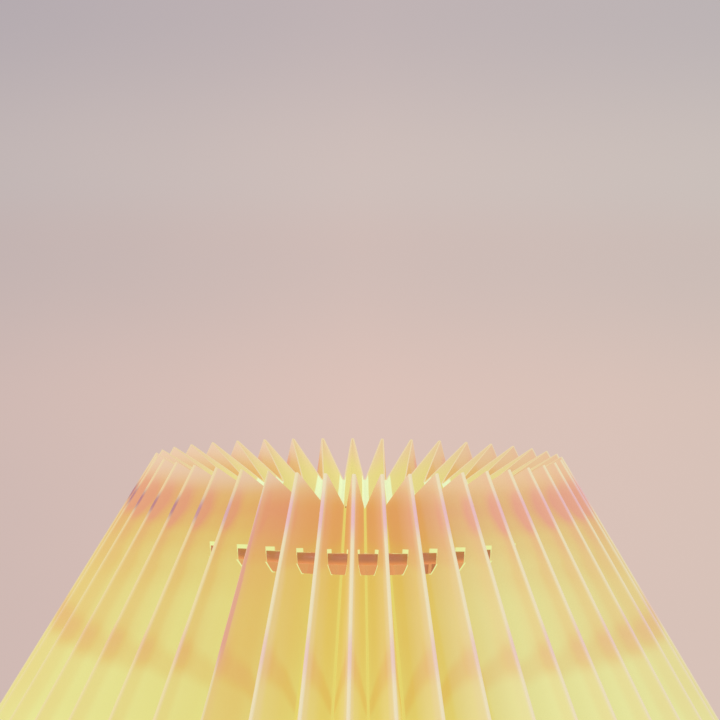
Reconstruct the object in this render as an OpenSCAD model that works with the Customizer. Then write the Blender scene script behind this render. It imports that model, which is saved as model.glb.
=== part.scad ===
// Table lamp with a pleated conical shade on a glazed ceramic body.
// Z is up, the origin is on the table under the lamp's axis, and the front is -Y.

/* [Shade sheet] */
// Diameter across the tips of the outer folds at the rim
shade_top_d = 120; // [112:1:150]
// Height of the shade, measured down an outer fold
shade_h = 148; // [110:1:170]
// Angle of the outer folds from the vertical, in degrees
shade_slope = 31.3; // [24:0.1:36]
// Number of pleats
pleats = 40; // [32:1:44]
// Width of one pleat face, from an outer fold to an inner fold
pleat_w = 22.8; // [20:0.1:26]
// Thickness of the sheet
sheet_t = 0.4; // [0.3:0.05:0.6]
// How much closer the pleats stand where they are closest than on average, as a share
gather_share = 0.12; // [0:0.01:0.15]
// Angle from the front round to that place, in degrees
gather_angle = 21; // [0:1:45]
// How much closer the pleats also stand at the front and the back than at the sides
end_gather_share = 0.08; // [0:0.01:0.1]
// Angle from the front round to the first outer fold, before the pleats are gathered
first_fold_angle = -4.6; // [-6:0.1:3]
// Number of the pleat face that the sheet's two ends share, counted from the first fold
seam_face = -6; // [-12:1:12]

/* [Notches and carrier ring] */
// Depth of the notches' flat top below the rim
notch_drop = 22; // [18:1:30]
// Height of a notch
notch_h = 5.6; // [4.5:0.1:8]
// Height of the slanted corner at the foot of a notch
notch_corner = 2.4; // [1:0.1:3]
// Free space in a notch outside the ring
notch_side = 4.2; // [2:0.1:6]
// Diameter of the carrier ring, to the middle of its wire
ring_d = 115; // [110:1:122]
// Diameter of the ring's wire
ring_wire_d = 3; // [2.5:0.1:4]

/* [Carrier arms and hub] */
// Height of the ring's wire above the underside of the hub
carrier_h = 105; // [100:1:120]
// Number of arms
arm_count = 3; // [2:1:4]
// Diameter of an arm's wire
arm_wire_d = 2.5; // [2:0.1:3]
// Distance from the lamp's axis at which an arm turns out to the ring
arm_bend_at = 44; // [40:0.5:45]
// Radius of that bend
arm_bend_r = 5; // [4:0.5:7]
// Turn of the first arm round from the front, in degrees
arm_turn = 30; // [0:1:60]
// Outer diameter of the hub plate
hub_d = 62; // [60:1:68]
// Thickness of the hub plate
hub_t = 1.5; // [1:0.1:2]

/* [Ceramic body] */
// Diameter of the ball-shaped body
belly_d = 156; // [140:1:170]
// Diameter of the foot
foot_d = 100; // [94:1:110]
// Height of the foot's straight side
foot_h = 16; // [14:1:20]
// Radius of the hollow curve between foot and belly
foot_cove_r = 6; // [3:0.5:9]
// Width of the foot ring
foot_ring_w = 9; // [7:0.5:10]
// Depth of the hollow under the body's floor
recess_h = 18; // [16:1:21]
// Thickness of the body's floor
floor_t = 6; // [5:0.5:8]
// Wall of the belly and neck
wall_t = 5; // [4:0.5:6]
// Outer diameter of the neck
neck_d = 38; // [34:1:44]
// Radius of the hollow curve between belly and neck
neck_cove_r = 30; // [22:1:38]
// Height of the neck's straight end
neck_h = 6; // [5:0.5:12]

/* [Foot fittings] */
// Thickness of the felt pad
pad_t = 2; // [1:0.5:3]
// Distance from the foot's edge to the edge of the felt pad
pad_inset = 2; // [1:0.5:4]
// Thickness of the cover board under the recess
cover_t = 2; // [1.5:0.5:3]
// Width of the ledge that holds the cover board
cover_ledge = 3; // [2:0.5:4]
// Diameter of the washer under the floor
washer_d = 32; // [26:1:40]
// Thickness of the washer
washer_t = 1.5; // [1:0.1:2]
// Width of the nut across its flats
nut_flats = 14; // [13:0.5:17]
// Thickness of the nut
nut_t = 4; // [3:0.5:5]

/* [Cord inlet] */
// Bore of the bushing in the back of the foot
inlet_bore_d = 6.4; // [5:0.1:7]
// Wall of the bushing
inlet_wall = 1.7; // [1.2:0.1:2]
// Diameter of the bushing's flange
inlet_flange_d = 13; // [11:0.5:14]
// Thickness of the flange
inlet_flange_t = 1.8; // [1:0.1:2.5]
// Depth of the flat cut in the foot for the flange
inlet_flat = 0.8; // [0.6:0.1:1.2]
// Height of the inlet above the foot's underside
inlet_h = 9; // [8:0.5:10]

/* [Stem and neck fittings] */
// Outer diameter of the stem tube
stem_d = 10; // [9.5:0.1:10.5]
// Bore of the stem tube
stem_bore_d = 7; // [6:0.1:8]
// Length of stem below the nut
stem_tail = 3; // [1:0.5:4]
// Length of stem that stands inside the holder cap
stem_grip = 6; // [4:0.5:7]
// Thickness of the neck cap
neck_cap_t = 2; // [1.5:0.1:3]
// Height of the cap's rim around the neck
neck_cap_rim = 4; // [3:0.5:5]
// Wall of that rim
neck_cap_wall = 1.8; // [1.2:0.1:2.5]
// Diameter of the collar on the neck cap
collar_d = 20; // [16:0.5:26]
// Height of the collar
collar_h = 8; // [6:0.5:12]
// Depth of the groove round the collar
collar_groove = 1.5; // [1:0.1:2.5]

/* [Lamp holder] */
// Outer diameter of the holder's cap
holder_d = 35; // [34:0.5:38]
// Height of the holder's cap
holder_cap_h = 20; // [18:0.5:24]
// Wall of the cap
holder_wall = 1.6; // [1.4:0.1:2]
// Thickness of the cap's floor
holder_floor_t = 3; // [2.5:0.1:4]
// Bevel round the foot of the cap
holder_edge = 2; // [1:0.1:3]
// Length of the skirt's end inside the cap
skirt_spigot = 6; // [4:0.5:8]
// Height of the skirt from the cap to the top of its shoulder
skirt_low_h = 18; // [16:0.5:22]
// Diameter of the shoulder that carries the hub
shoulder_d = 47; // [44:0.5:52]
// Thickness of the shoulder's edge
shoulder_t = 2; // [1.5:0.1:3]
// Diameter of the skirt's threaded end
skirt_thread_d = 40; // [39:0.5:42]
// Height of the threaded end above the shoulder
skirt_thread_h = 24; // [20:0.5:28]
// Wall of the threaded end
skirt_thread_wall = 2.8; // [2:0.1:3]
// Outer diameter of the retaining ring
lock_ring_d = 54; // [50:0.5:55]
// Height of the retaining ring
lock_ring_h = 7; // [6:0.5:9]
// Number of finger grooves round the retaining ring
lock_ring_grooves = 24; // [12:1:30]
// Depth of a finger groove
lock_groove_depth = 1.1; // [0.6:0.1:1.3]
// Bevel along the retaining ring's upper edge
lock_ring_edge = 0.8; // [0.4:0.1:1.2]
// Diameter of the insert that carries the contacts
insert_d = 29.2; // [28.6:0.1:29.4]
// Height of the insert
insert_h = 26; // [24:0.5:27]
// Diameter of the well in the top of the insert
well_d = 21; // [20:0.5:23]
// Depth of the well
well_h = 12; // [11:0.5:13]
// Wall of the threaded sleeve for the bulb
sleeve_wall = 0.5; // [0.4:0.1:0.8]
// Height of that sleeve
sleeve_h = 20; // [16:0.5:22]
// Thickness of the contact strips
strip_t = 0.6; // [0.5:0.1:1]
// Width of the contact strips
strip_w = 5; // [4:0.5:6]
// Distance of the centre contact's legs from the wall of the well
strip_inset = 3; // [2.5:0.1:4]
// Half width of the pad that presses on the bulb's tip
strip_pad = 2; // [1.5:0.1:2.5]
// Diameter of a terminal screw's head
screw_head_d = 5.6; // [5:0.1:6]
// Height of a terminal screw's head
screw_head_h = 2; // [1.5:0.1:2.5]
// Diameter of a terminal screw's shank
screw_d = 3; // [2.5:0.1:3.5]
// Length of a terminal screw's shank
screw_l = 6; // [4:0.5:8]
// Width of the slot in a terminal screw's head
screw_slot_w = 0.8; // [0.6:0.1:1.2]
// Distance of the terminal screws from the axis
screw_at = 9; // [8:0.5:9.5]

/* [Bulb] */
// Diameter of the bulb's globe
bulb_d = 45; // [42:1:50]
// Length of the bulb from its tip to its top
bulb_l = 80; // [76:1:90]
// Diameter of the bulb's screw cap
bulb_cap_d = 26.4; // [26:0.1:26.8]
// Height of the screw cap
bulb_cap_h = 19; // [18:0.5:21]
// Wall of the screw cap
bulb_cap_wall = 0.5; // [0.3:0.1:0.8]
// Height of the screwed-in cap above the holder's insert
bulb_seat = 2; // [1:0.5:3]
// Height of the insulator under the screw cap
bulb_glass_h = 5; // [4:0.5:6]
// Height of the insulator's plug inside the screw cap
bulb_plug_h = 2; // [1:0.5:4]
// Diameter of the contact tip
bulb_tip_d = 9; // [8:0.5:10]
// Height of the contact tip
bulb_tip_h = 1.5; // [1:0.1:2]
// Width of the insulator's rim round the contact tip, and of the tip's bevel
bulb_tip_rim = 1; // [0.5:0.1:1.5]
// Diameter of the housing where it leaves the screw cap
bulb_neck_d = 28; // [27:0.5:30]
// Height of the housing's straight start
bulb_neck_h = 5; // [4:0.5:8]
// Wall of the housing's straight start
housing_wall = 3; // [2:0.1:4]
// Wall of the globe
globe_wall = 1.2; // [1:0.1:2]
// Distance of the globe's seam below its middle
globe_seam = 9; // [6:0.5:12]
// Thickness of the board that holds the diodes
board_t = 1.6; // [1:0.1:2]
// Width of the ledge that the board lies on
board_ledge = 1; // [0.5:0.1:2]
// Number of diodes
diode_count = 8; // [4:1:12]
// Diameter of the ring of diodes
diode_ring_d = 26; // [20:1:26]
// Side of a diode
diode_w = 3; // [2:0.1:3.5]
// Height of a diode above the board
diode_h = 0.8; // [0.4:0.1:1.2]

/* [Fits] */
// Play round parts that turn on each other
turn_gap = 0.08; // [0.05:0.01:0.1]
// Play round parts that are put together once
fit_gap = 0.1; // [0.05:0.01:0.2]
// Play between the hub plate and the retaining ring, at which the shade still turns
ring_play = 0.1; // [0.05:0.05:0.3]
// Play round the stem in the ceramic body
body_hole_gap = 0.3; // [0.2:0.1:1]
// Space between the bulb's tip and the sprung contact
tip_gap = 0.3; // [0.2:0.05:0.5]

/* [Hidden] */
$fn = 96;
// Overlap of a cutting shape past the face that it cuts
cut = 1;
// Depth of the sheet's last face under its first one, in sheets, with the glue between them
seam_depth = 1.2;

// Heights of the ceramic body
belly_r = belly_d/2;
foot_r = foot_d/2;
neck_r = neck_d/2;
foot_z = pad_t;
floor_z = foot_z + recess_h;
belly_z = foot_z + foot_h + sqrt(pow(belly_r, 2) - pow(foot_r, 2));
foot_curve_z = belly_z - sqrt(pow(belly_r + foot_cove_r, 2) - pow(foot_r + foot_cove_r, 2));
neck_start_z = belly_z + sqrt(pow(belly_r + neck_cove_r, 2) - pow(neck_r + neck_cove_r, 2));
neck_top_z = neck_start_z + neck_h;

// Heights of the lamp holder
collar_z = neck_top_z + neck_cap_t;
holder_z = collar_z + collar_h;
cap_top_z = holder_z + holder_cap_h;
skirt_z = cap_top_z - skirt_spigot;
shoulder_z = cap_top_z + skirt_low_h;
skirt_top_z = shoulder_z + skirt_thread_h;
holder_r = holder_d/2;
holder_bore_r = holder_r - holder_wall;
skirt_bore_r = insert_d/2 + fit_gap;
thread_r = skirt_thread_d/2;
mouth_r = thread_r - skirt_thread_wall;
insert_top_z = shoulder_z - shoulder_t;
insert_z = insert_top_z - insert_h;
well_z = insert_top_z - well_h;
sleeve_bore_r = bulb_cap_d/2 + turn_gap;
stem_r = stem_d/2;
stem_bottom_z = floor_z - washer_t - nut_t - stem_tail;
stem_top_z = holder_z + stem_grip;
strip_slot_r = sleeve_bore_r + sleeve_wall - strip_t;
contact_leg = well_d/2 - strip_inset;

// Heights of the bulb, from its cap down to the tip and up to the globe
bulb_cap_z = insert_top_z + bulb_seat;
bulb_neck_z = bulb_cap_z + bulb_cap_h;
tip_z = bulb_cap_z - bulb_glass_h - bulb_tip_h;
globe_r = bulb_d/2;
globe_z = tip_z + bulb_l - globe_r;
seam_z = globe_z - globe_seam;
seam_r = sqrt(pow(globe_r, 2) - pow(globe_seam, 2));

// Heights of the carrier and the shade
hub_top_z = shoulder_z + hub_t;
ring_z = shoulder_z + carrier_h;
notch_z = ring_z + ring_wire_d/2;
notch_foot_z = notch_z - notch_h;
notch_r = ring_d/2 + ring_wire_d/2 + notch_side;
rim_z = notch_z + notch_drop;
arm_foot_r = (hub_d/2 + lock_ring_d/2)/2;

// Lean of an arm from the vertical, and the turn of its bend
arm_lean = atan2(arm_bend_at - arm_foot_r, ring_z - hub_top_z);
arm_turn_angle = 90 - arm_lean;
arm_bend_cut = arm_bend_r*tan(arm_turn_angle/2);

// Length of an arm's straight ends inside its bend, and the wire's swell there
bend_lap = 0.5;
bend_swell = 0.05;

// Turn of the fold that stands u faces on from the first one. Two faces make a pleat.
function fold_angle(u) =
    let (even = first_fold_angle + u*180/pleats)
    even - (gather_share*sin(even - gather_angle) + end_gather_share*sin(2*even)/2)*180/PI;

// Half of the angle between the folds on both sides of fold u
function half_angle(u) = (fold_angle(u + 1) - fold_angle(u - 1))/2;

// Depth of a pleat square to the outer fold, so that each face keeps its width.
// r is the radius of the outer folds there and half the angle across one face.
function pleat_depth(r, half, steps = 5, d = pleat_w) =
    steps == 0 ? d
    : pleat_depth(r, half, steps - 1,
        sqrt(pow(pleat_w, 2) - pow((r - d*cos(shade_slope))*sin(half), 2)));

// True for an outer fold, false for an inner one
function is_outer(u) = u % 2 == 0;

// Top and foot of fold u. lift is how many sheets the line lies above the sheet's middle.
// The fold's mitre grows as the pleats close up, so each face keeps its thickness.
function fold_line(u, lift) = [for (h = [0, shade_h])
    let (r = shade_top_d/2 + h*tan(shade_slope))
    let (half = half_angle(u))
    let (depth = pleat_depth(r, half))
    let (inner_r = r - depth*cos(shade_slope))
    let (mitre = sheet_t*pleat_w/((is_outer(u) ? inner_r : r)*sin(half)))
    let (d = (is_outer(u) ? 0 : depth) - lift*mitre)
    let (rr = r - d*cos(shade_slope))
    [rr*sin(fold_angle(u)), -rr*cos(fold_angle(u)), rim_z - h - d*sin(shade_slope)]];

// Point of a fold line at height z
function at_height(line, z) =
    line[0] + (line[1] - line[0])*(line[0].z - z)/(line[0].z - line[1].z);

// Distance of a point from the lamp's axis
function axis_distance(p) = norm([p.x, p.y]);

// Point of a face at height z and at distance r from the axis, between its two fold lines
function on_face(inner, outer, z, r) =
    let (a = at_height(inner, z))
    let (b = at_height(outer, z))
    a + (b - a)*(r - axis_distance(a))/(axis_distance(b) - axis_distance(a));

// Points of fold u: top, notch top, notch foot, foot
function fold_points(line) =
    [line[0], at_height(line, notch_z), at_height(line, notch_foot_z), line[1]];

// Points round the notch on the face between two fold lines: top, side, foot corner
function notch_points(a, b, first_is_outer) =
    let (outer = first_is_outer ? a : b)
    let (inner = first_is_outer ? b : a)
    [on_face(inner, outer, notch_z, notch_r),
        on_face(inner, outer, notch_foot_z + notch_corner, notch_r),
        on_face(inner, outer, notch_foot_z, notch_r - notch_corner)];

// The folded strip, with a notch across each inner fold. Its last face lies under its
// first one, where the ends are glued. Each surface of the sheet has fold_n points on a
// fold and notch_n more on the face beside it, round its notch.
module folded_strip() {
    folds = 2*pleats + 2;
    fold_n = 4;
    notch_n = 3;
    step = 2*(fold_n + notch_n);
    function lift(i, surface) = (i < 2*pleats ? 0 : -seam_depth) + (surface == 0 ? 0.5 : -0.5);
    function line(i, surface) = fold_line(seam_face + i, lift(i, surface));
    function outer_at(i) = is_outer(seam_face + i);
    points = [for (i = [0:folds - 1])
        each concat(
            fold_points(line(i, 0)),
            i < folds - 1 ? notch_points(line(i, 0), line(i + 1, 0), outer_at(i)) : [],
            fold_points(line(i, 1)),
            i < folds - 1 ? notch_points(line(i, 1), line(i + 1, 1), outer_at(i)) : [])];
    // Number of the point on the second surface that belongs to point v on the first
    function other_side(v) = v + fold_n + (v < step*(folds - 1) ? notch_n : 0);
    faces = [for (i = [0:folds - 2])
        let (o = outer_at(i) ? i : i + 1)
        let (n = outer_at(i) ? i + 1 : i)
        let (oo = [for (k = [0:fold_n - 1]) step*o + k])
        let (nn = [for (k = [0:fold_n - 1]) step*n + k])
        let (ff = [for (k = [0:notch_n - 1]) step*i + fold_n + k])
        let (corners = [
            [oo[0], oo[1], ff[0]], [oo[0], ff[0], nn[1]], [oo[0], nn[1], nn[0]],
            [oo[1], oo[2], ff[2]], [oo[1], ff[2], ff[1]], [oo[1], ff[1], ff[0]],
            [oo[3], ff[2], oo[2]], [oo[3], nn[2], ff[2]], [oo[3], nn[3], nn[2]]])
        let (edges = concat(
            [[nn[0], oo[0]], [oo[3], nn[3]],
                [nn[2], ff[2]], [ff[2], ff[1]], [ff[1], ff[0]], [ff[0], nn[1]]],
            o == 0 || o == folds - 1 ? [[oo[0], oo[1]], [oo[1], oo[2]], [oo[2], oo[3]]] : [],
            n == 0 || n == folds - 1 ? [[nn[1], nn[0]], [nn[3], nn[2]]] : []))
        each concat(
            [for (t = corners) outer_at(i) ? [t[2], t[1], t[0]] : t],
            [for (t = corners)
                let (b = [for (v = t) other_side(v)])
                outer_at(i) ? b : [b[2], b[1], b[0]]],
            [for (e = edges)
                let (p = e[0])
                let (q = e[1])
                let (p2 = other_side(p))
                let (q2 = other_side(q))
                each outer_at(i)
                    ? [[q2, p2, p], [q2, p, q]]
                    : [[q, p, p2], [q, p2, q2]]])];
    polyhedron(points, faces);
}

// The folded sheet of the shade
module shade_sheet() {
    color("navajowhite")
    folded_strip();
}

// Wire ring that the flat tops of the notches hang on
module carrier_ring() {
    color("saddlebrown")
    ring_shape();
}

module ring_shape() {
    translate([0, 0, ring_z])
    rotate_extrude() translate([ring_d/2, 0]) circle(d = ring_wire_d);
}

// One arm in the XZ plane: up from the hub, over the bend and out to the ring.
// The wire swells a little in its bend, and the straight ends run into it.
module arm_shape() {
    bend_z = ring_z - arm_bend_cut*cos(arm_lean);
    bend_at = arm_bend_at - arm_bend_cut*sin(arm_lean);
    rise = (bend_z - hub_top_z)/cos(arm_lean) + arm_wire_d;
    out = ring_d/2 - arm_bend_at - arm_bend_cut;
    translate([bend_at, 0, bend_z])
    rotate([0, arm_lean, 0])
    translate([0, 0, -rise]) cylinder(h = rise + bend_lap, d = arm_wire_d);
    translate([arm_bend_at + arm_bend_cut, 0, ring_z - arm_bend_r])
    rotate([90, 0, 0])
    rotate([0, 0, 90])
    rotate_extrude(angle = arm_turn_angle)
    translate([arm_bend_r, 0]) circle(d = arm_wire_d + 2*bend_swell);
    translate([arm_bend_at + arm_bend_cut - bend_lap, 0, ring_z])
    rotate([0, 90, 0]) cylinder(h = out + bend_lap, d = arm_wire_d);
}

// Wire arms, cut flat on the hub plate and hollowed at the ring
module carrier_arms() {
    color("saddlebrown")
    difference() {
        for (i = [0:arm_count - 1])
            rotate([0, 0, arm_turn - 90 + i*360/arm_count]) arm_shape();
        ring_shape();
        translate([0, 0, hub_top_z - hub_d]) cylinder(h = hub_d, d = hub_d*2);
    }
}

// Plate that lies on the holder's shoulder under the retaining ring
module carrier_hub() {
    color("saddlebrown")
    translate([0, 0, shoulder_z])
    difference() {
        cylinder(h = hub_t, d = hub_d);
        translate([0, 0, -cut]) cylinder(h = hub_t + 2*cut, r = thread_r + turn_gap);
    }
}

// Screw ring that clamps the hub, with finger grooves round its edge
module retaining_ring() {
    groove_r = PI*lock_ring_d/lock_ring_grooves/4;
    color("whitesmoke")
    translate([0, 0, hub_top_z + ring_play])
    difference() {
        rotate_extrude() polygon([[thread_r + turn_gap, 0], [lock_ring_d/2, 0],
            [lock_ring_d/2, lock_ring_h - lock_ring_edge],
            [lock_ring_d/2 - lock_ring_edge, lock_ring_h], [thread_r + turn_gap, lock_ring_h]]);
        for (i = [0:lock_ring_grooves - 1])
            rotate([0, 0, i*360/lock_ring_grooves])
            translate([lock_ring_d/2 + groove_r - lock_groove_depth, 0, -cut])
            cylinder(h = lock_ring_h + 2*cut, r = groove_r, $fn = 24);
    }
}

// Disc of the globe right of the axis, from low_z up, made smaller by inset
module globe_outline(inset, low_z) {
    intersection() {
        translate([0, globe_z]) circle(r = globe_r - inset);
        translate([0, low_z]) square([bulb_d, bulb_d*2]);
    }
}

// Frosted globe, open at its seam
module bulb_globe() {
    color("ivory")
    rotate_extrude()
    difference() {
        globe_outline(0, seam_z);
        globe_outline(globe_wall, seam_z - cut);
    }
}

// Tapered housing from the screw cap to the globe, hollow for the driver
module bulb_housing() {
    bore_r = bulb_neck_d/2 - housing_wall;
    seat_r = seam_r - globe_wall;
    board_z = seam_z - board_t;
    color("white")
    rotate_extrude()
    difference() {
        polygon([[0, bulb_neck_z], [bulb_neck_d/2, bulb_neck_z],
            [bulb_neck_d/2, bulb_neck_z + bulb_neck_h], [seam_r, seam_z], [0, seam_z]]);
        polygon([[0, bulb_neck_z - cut], [bore_r, bulb_neck_z - cut],
            [bore_r, bulb_neck_z + bulb_neck_h], [seat_r - board_ledge, board_z],
            [seat_r, board_z], [seat_r, seam_z + cut], [0, seam_z + cut]]);
    }
}

// Round board with its ring of diodes, seated in the housing's rim
module diode_board() {
    color("lightyellow")
    translate([0, 0, seam_z - board_t]) {
        cylinder(h = board_t, r = seam_r - globe_wall - fit_gap);
        for (i = [0:diode_count - 1])
            rotate([0, 0, i*360/diode_count])
            translate([diode_ring_d/2 - diode_w/2, -diode_w/2, board_t/2])
            cube([diode_w, diode_w, board_t/2 + diode_h]);
    }
}

// Metal screw cap of the bulb
module bulb_cap() {
    color("silver")
    translate([0, 0, bulb_cap_z])
    difference() {
        cylinder(h = bulb_cap_h, d = bulb_cap_d);
        translate([0, 0, -cut]) cylinder(h = bulb_cap_h + 2*cut, d = bulb_cap_d - 2*bulb_cap_wall);
    }
}

// Dark cone between the screw cap and the tip, with a plug that stands inside the cap
module bulb_insulator() {
    color("dimgray")
    translate([0, 0, bulb_cap_z]) {
        translate([0, 0, -bulb_glass_h])
        cylinder(h = bulb_glass_h, d1 = bulb_tip_d + 2*bulb_tip_rim,
            d2 = bulb_cap_d - 2*bulb_cap_wall);
        cylinder(h = bulb_plug_h, d = bulb_cap_d - 2*bulb_cap_wall);
    }
}

// Contact tip of the bulb
module bulb_tip() {
    color("silver")
    translate([0, 0, tip_z])
    cylinder(h = bulb_tip_h, d1 = bulb_tip_d - 2*bulb_tip_rim, d2 = bulb_tip_d);
}

// Outer skirt of the lamp holder: end in the cap, shoulder for the hub, threaded mouth
module holder_skirt() {
    color("whitesmoke")
    rotate_extrude()
    difference() {
        polygon([[0, skirt_z], [holder_bore_r - fit_gap, skirt_z],
            [holder_bore_r - fit_gap, cap_top_z], [holder_r, cap_top_z],
            [holder_r, shoulder_z - shoulder_t - (shoulder_d/2 - holder_r)],
            [shoulder_d/2, shoulder_z - shoulder_t], [shoulder_d/2, shoulder_z],
            [thread_r, shoulder_z], [thread_r, skirt_top_z - cut], [thread_r - cut, skirt_top_z],
            [0, skirt_top_z]]);
        polygon([[0, skirt_z - cut], [skirt_bore_r, skirt_z - cut], [skirt_bore_r, shoulder_z],
            [mouth_r, shoulder_z + mouth_r - skirt_bore_r], [mouth_r, skirt_top_z + cut],
            [0, skirt_top_z + cut]]);
    }
}

// Thin sleeve that takes the bulb's screw cap
module screw_sleeve() {
    color("goldenrod")
    translate([0, 0, insert_top_z])
    difference() {
        cylinder(h = sleeve_h, r = sleeve_bore_r + sleeve_wall);
        translate([0, 0, -cut]) cylinder(h = sleeve_h + 2*cut, r = sleeve_bore_r);
    }
}

// Sprung strip: up through the insert, along the well's floor and back up to the bulb's tip
module centre_contact() {
    reach = tip_z - tip_gap;
    slant_w = strip_t*1.5;
    color("goldenrod")
    rotate([90, 0, 0])
    translate([0, 0, -strip_w/2])
    linear_extrude(strip_w) {
        translate([-contact_leg, insert_z]) square([strip_t, well_z + strip_t - insert_z]);
        translate([-contact_leg, well_z]) square([2*contact_leg, strip_t]);
        polygon([[contact_leg - slant_w, well_z + strip_t/2], [contact_leg, well_z + strip_t/2],
            [strip_pad, reach], [strip_pad - slant_w, reach]]);
        translate([-strip_pad, reach - strip_t]) square([2*strip_pad, strip_t]);
    }
}

// Straight strip under the sleeve's lower edge
module side_contact() {
    color("goldenrod")
    translate([-strip_w/2, strip_slot_r, insert_z]) cube([strip_w, strip_t, insert_h]);
}

// Places of the two terminal screws, half way between the strips
module at_terminals() {
    for (side = [-1, 1])
        rotate([0, 0, -45]) translate([side*screw_at, 0, insert_z]) children();
}

// Slotted screws under the insert
module terminal_screws() {
    color("silver")
    at_terminals() {
        difference() {
            translate([0, 0, -screw_head_h]) cylinder(h = screw_head_h, d = screw_head_d);
            translate([-screw_head_d, -screw_slot_w/2, -screw_head_h - cut])
            cube([2*screw_head_d, screw_slot_w, screw_head_h/2 + cut]);
        }
        cylinder(h = screw_l, d = screw_d);
    }
}

// Insulating insert with a well, two strip slots and two screw holes
module holder_insert() {
    slot = strip_t + 2*fit_gap;
    color("white")
    difference() {
        translate([0, 0, insert_z]) cylinder(h = insert_h, d = insert_d);
        translate([0, 0, well_z]) cylinder(h = well_h + cut, d = well_d);
        translate([-contact_leg - fit_gap, -strip_w/2 - fit_gap, insert_z - cut])
        cube([slot, strip_w + 2*fit_gap, insert_h]);
        translate([-strip_w/2 - fit_gap, strip_slot_r - fit_gap, insert_z - cut])
        cube([strip_w + 2*fit_gap, slot, insert_h + 2*cut]);
        at_terminals() translate([0, 0, -cut]) cylinder(h = screw_l + 2*cut, d = screw_d + 2*fit_gap);
    }
}

// Cup at the foot of the lamp holder, bored for the stem
module holder_cap() {
    color("whitesmoke")
    rotate_extrude()
    polygon([[stem_r + fit_gap, holder_z], [holder_r - holder_edge, holder_z],
        [holder_r, holder_z + holder_edge], [holder_r, cap_top_z], [holder_bore_r, cap_top_z],
        [holder_bore_r, holder_z + holder_floor_t], [stem_r + fit_gap, holder_z + holder_floor_t]]);
}

// Turned collar between the neck cap and the holder
module neck_collar() {
    color("darkgoldenrod")
    translate([0, 0, collar_z])
    difference() {
        cylinder(h = collar_h, d = collar_d);
        translate([0, 0, -cut]) cylinder(h = collar_h + 2*cut, r = stem_r + fit_gap);
        translate([0, 0, collar_h/2])
        rotate_extrude() translate([collar_d/2, 0]) circle(r = collar_groove);
    }
}

// Cap over the top of the neck, with a rim that goes down around it
module neck_cap() {
    rim_r = neck_r + fit_gap;
    color("darkgoldenrod")
    rotate_extrude()
    polygon([[stem_r + fit_gap, neck_top_z], [rim_r, neck_top_z], [rim_r, neck_top_z - neck_cap_rim],
        [rim_r + neck_cap_wall, neck_top_z - neck_cap_rim], [rim_r + neck_cap_wall, neck_top_z],
        [rim_r + neck_cap_wall - neck_cap_t/2, collar_z], [stem_r + fit_gap, collar_z]]);
}

// Threaded tube that holds the lamp together from the foot to the holder
module stem_tube() {
    color("silver")
    translate([0, 0, stem_bottom_z])
    difference() {
        cylinder(h = stem_top_z - stem_bottom_z, d = stem_d);
        translate([0, 0, -cut]) cylinder(h = stem_top_z - stem_bottom_z + 2*cut, d = stem_bore_d);
    }
}

// Upright part with radius line_r that a hollow curve joins to the ball of radius ball.
// up is 1 for the neck and -1 for the foot, and straight is its length past the curve.
module stalk_outline(ball, line_r, cove, up, straight) {
    far = sqrt(pow(ball + cove, 2) - pow(line_r + cove, 2));
    share = ball/(ball + cove);
    side = [[0, belly_z], [(line_r + cove)*share, belly_z + up*far*share],
        [line_r, belly_z + up*far], [line_r, belly_z + up*(far + straight)],
        [0, belly_z + up*(far + straight)]];
    difference() {
        polygon(up > 0 ? side : [for (i = [len(side) - 1:-1:0]) side[i]]);
        translate([line_r + cove, belly_z + up*far]) circle(r = cove);
    }
}

// Outline of the ball and neck right of the axis, made smaller by inset for the hollow
module body_outline(inset, low_z, straight) {
    intersection() {
        translate([0, belly_z]) circle(r = belly_r - inset);
        translate([0, low_z]) square([belly_r, belly_d]);
    }
    stalk_outline(belly_r - inset, neck_r - inset, neck_cove_r + inset, 1, straight);
}

// Round bore from the inlet through the back of the foot
module inlet_hole(r, from_y, to_y) {
    translate([0, to_y, foot_z + inlet_h])
    rotate([90, 0, 0]) cylinder(h = to_y - from_y, r = r);
}

// Ball-shaped hollow body with its neck, foot ring and recess
module ceramic_body() {
    inlet_r = inlet_bore_d/2 + inlet_wall;
    recess_r = foot_r - foot_ring_w;
    color("lightblue")
    difference() {
        rotate_extrude()
        difference() {
            union() {
                body_outline(0, foot_z + foot_h/2, neck_h);
                stalk_outline(belly_r, foot_r, foot_cove_r, -1, foot_curve_z - foot_z);
            }
            body_outline(wall_t, floor_z + floor_t, neck_h + cut);
            translate([0, foot_z - cut]) square([recess_r, recess_h + cut]);
            translate([0, foot_z - cut]) square([recess_r + cover_ledge, cover_t + cut]);
            square([stem_r + body_hole_gap, belly_z]);
        }
        inlet_hole(inlet_r + fit_gap, recess_r - cut, foot_r + cut);
        inlet_hole(inlet_flange_d/2 + fit_gap, foot_r - inlet_flat, foot_r + cut);
    }
}

// Washer that spreads the nut's pull under the floor
module foot_washer() {
    color("silver")
    translate([0, 0, floor_z - washer_t])
    difference() {
        cylinder(h = washer_t, d = washer_d);
        translate([0, 0, -cut]) cylinder(h = washer_t + 2*cut, r = stem_r + fit_gap);
    }
}

// Thin hexagon nut on the end of the stem
module foot_nut() {
    color("silver")
    translate([0, 0, floor_z - washer_t - nut_t])
    difference() {
        cylinder(h = nut_t, d = nut_flats/cos(30), $fn = 6);
        translate([0, 0, -cut]) cylinder(h = nut_t + 2*cut, r = stem_r + fit_gap);
    }
}

// Flanged bushing that lines the cord's way through the foot ring
module cord_bushing() {
    back = foot_r - foot_ring_w;
    face = foot_r - inlet_flat;
    color("dimgray")
    difference() {
        union() {
            inlet_hole(inlet_bore_d/2 + inlet_wall, back, face);
            inlet_hole(inlet_flange_d/2, face, face + inlet_flange_t);
        }
        inlet_hole(inlet_bore_d/2, back - cut, face + inlet_flange_t + cut);
    }
}

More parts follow.
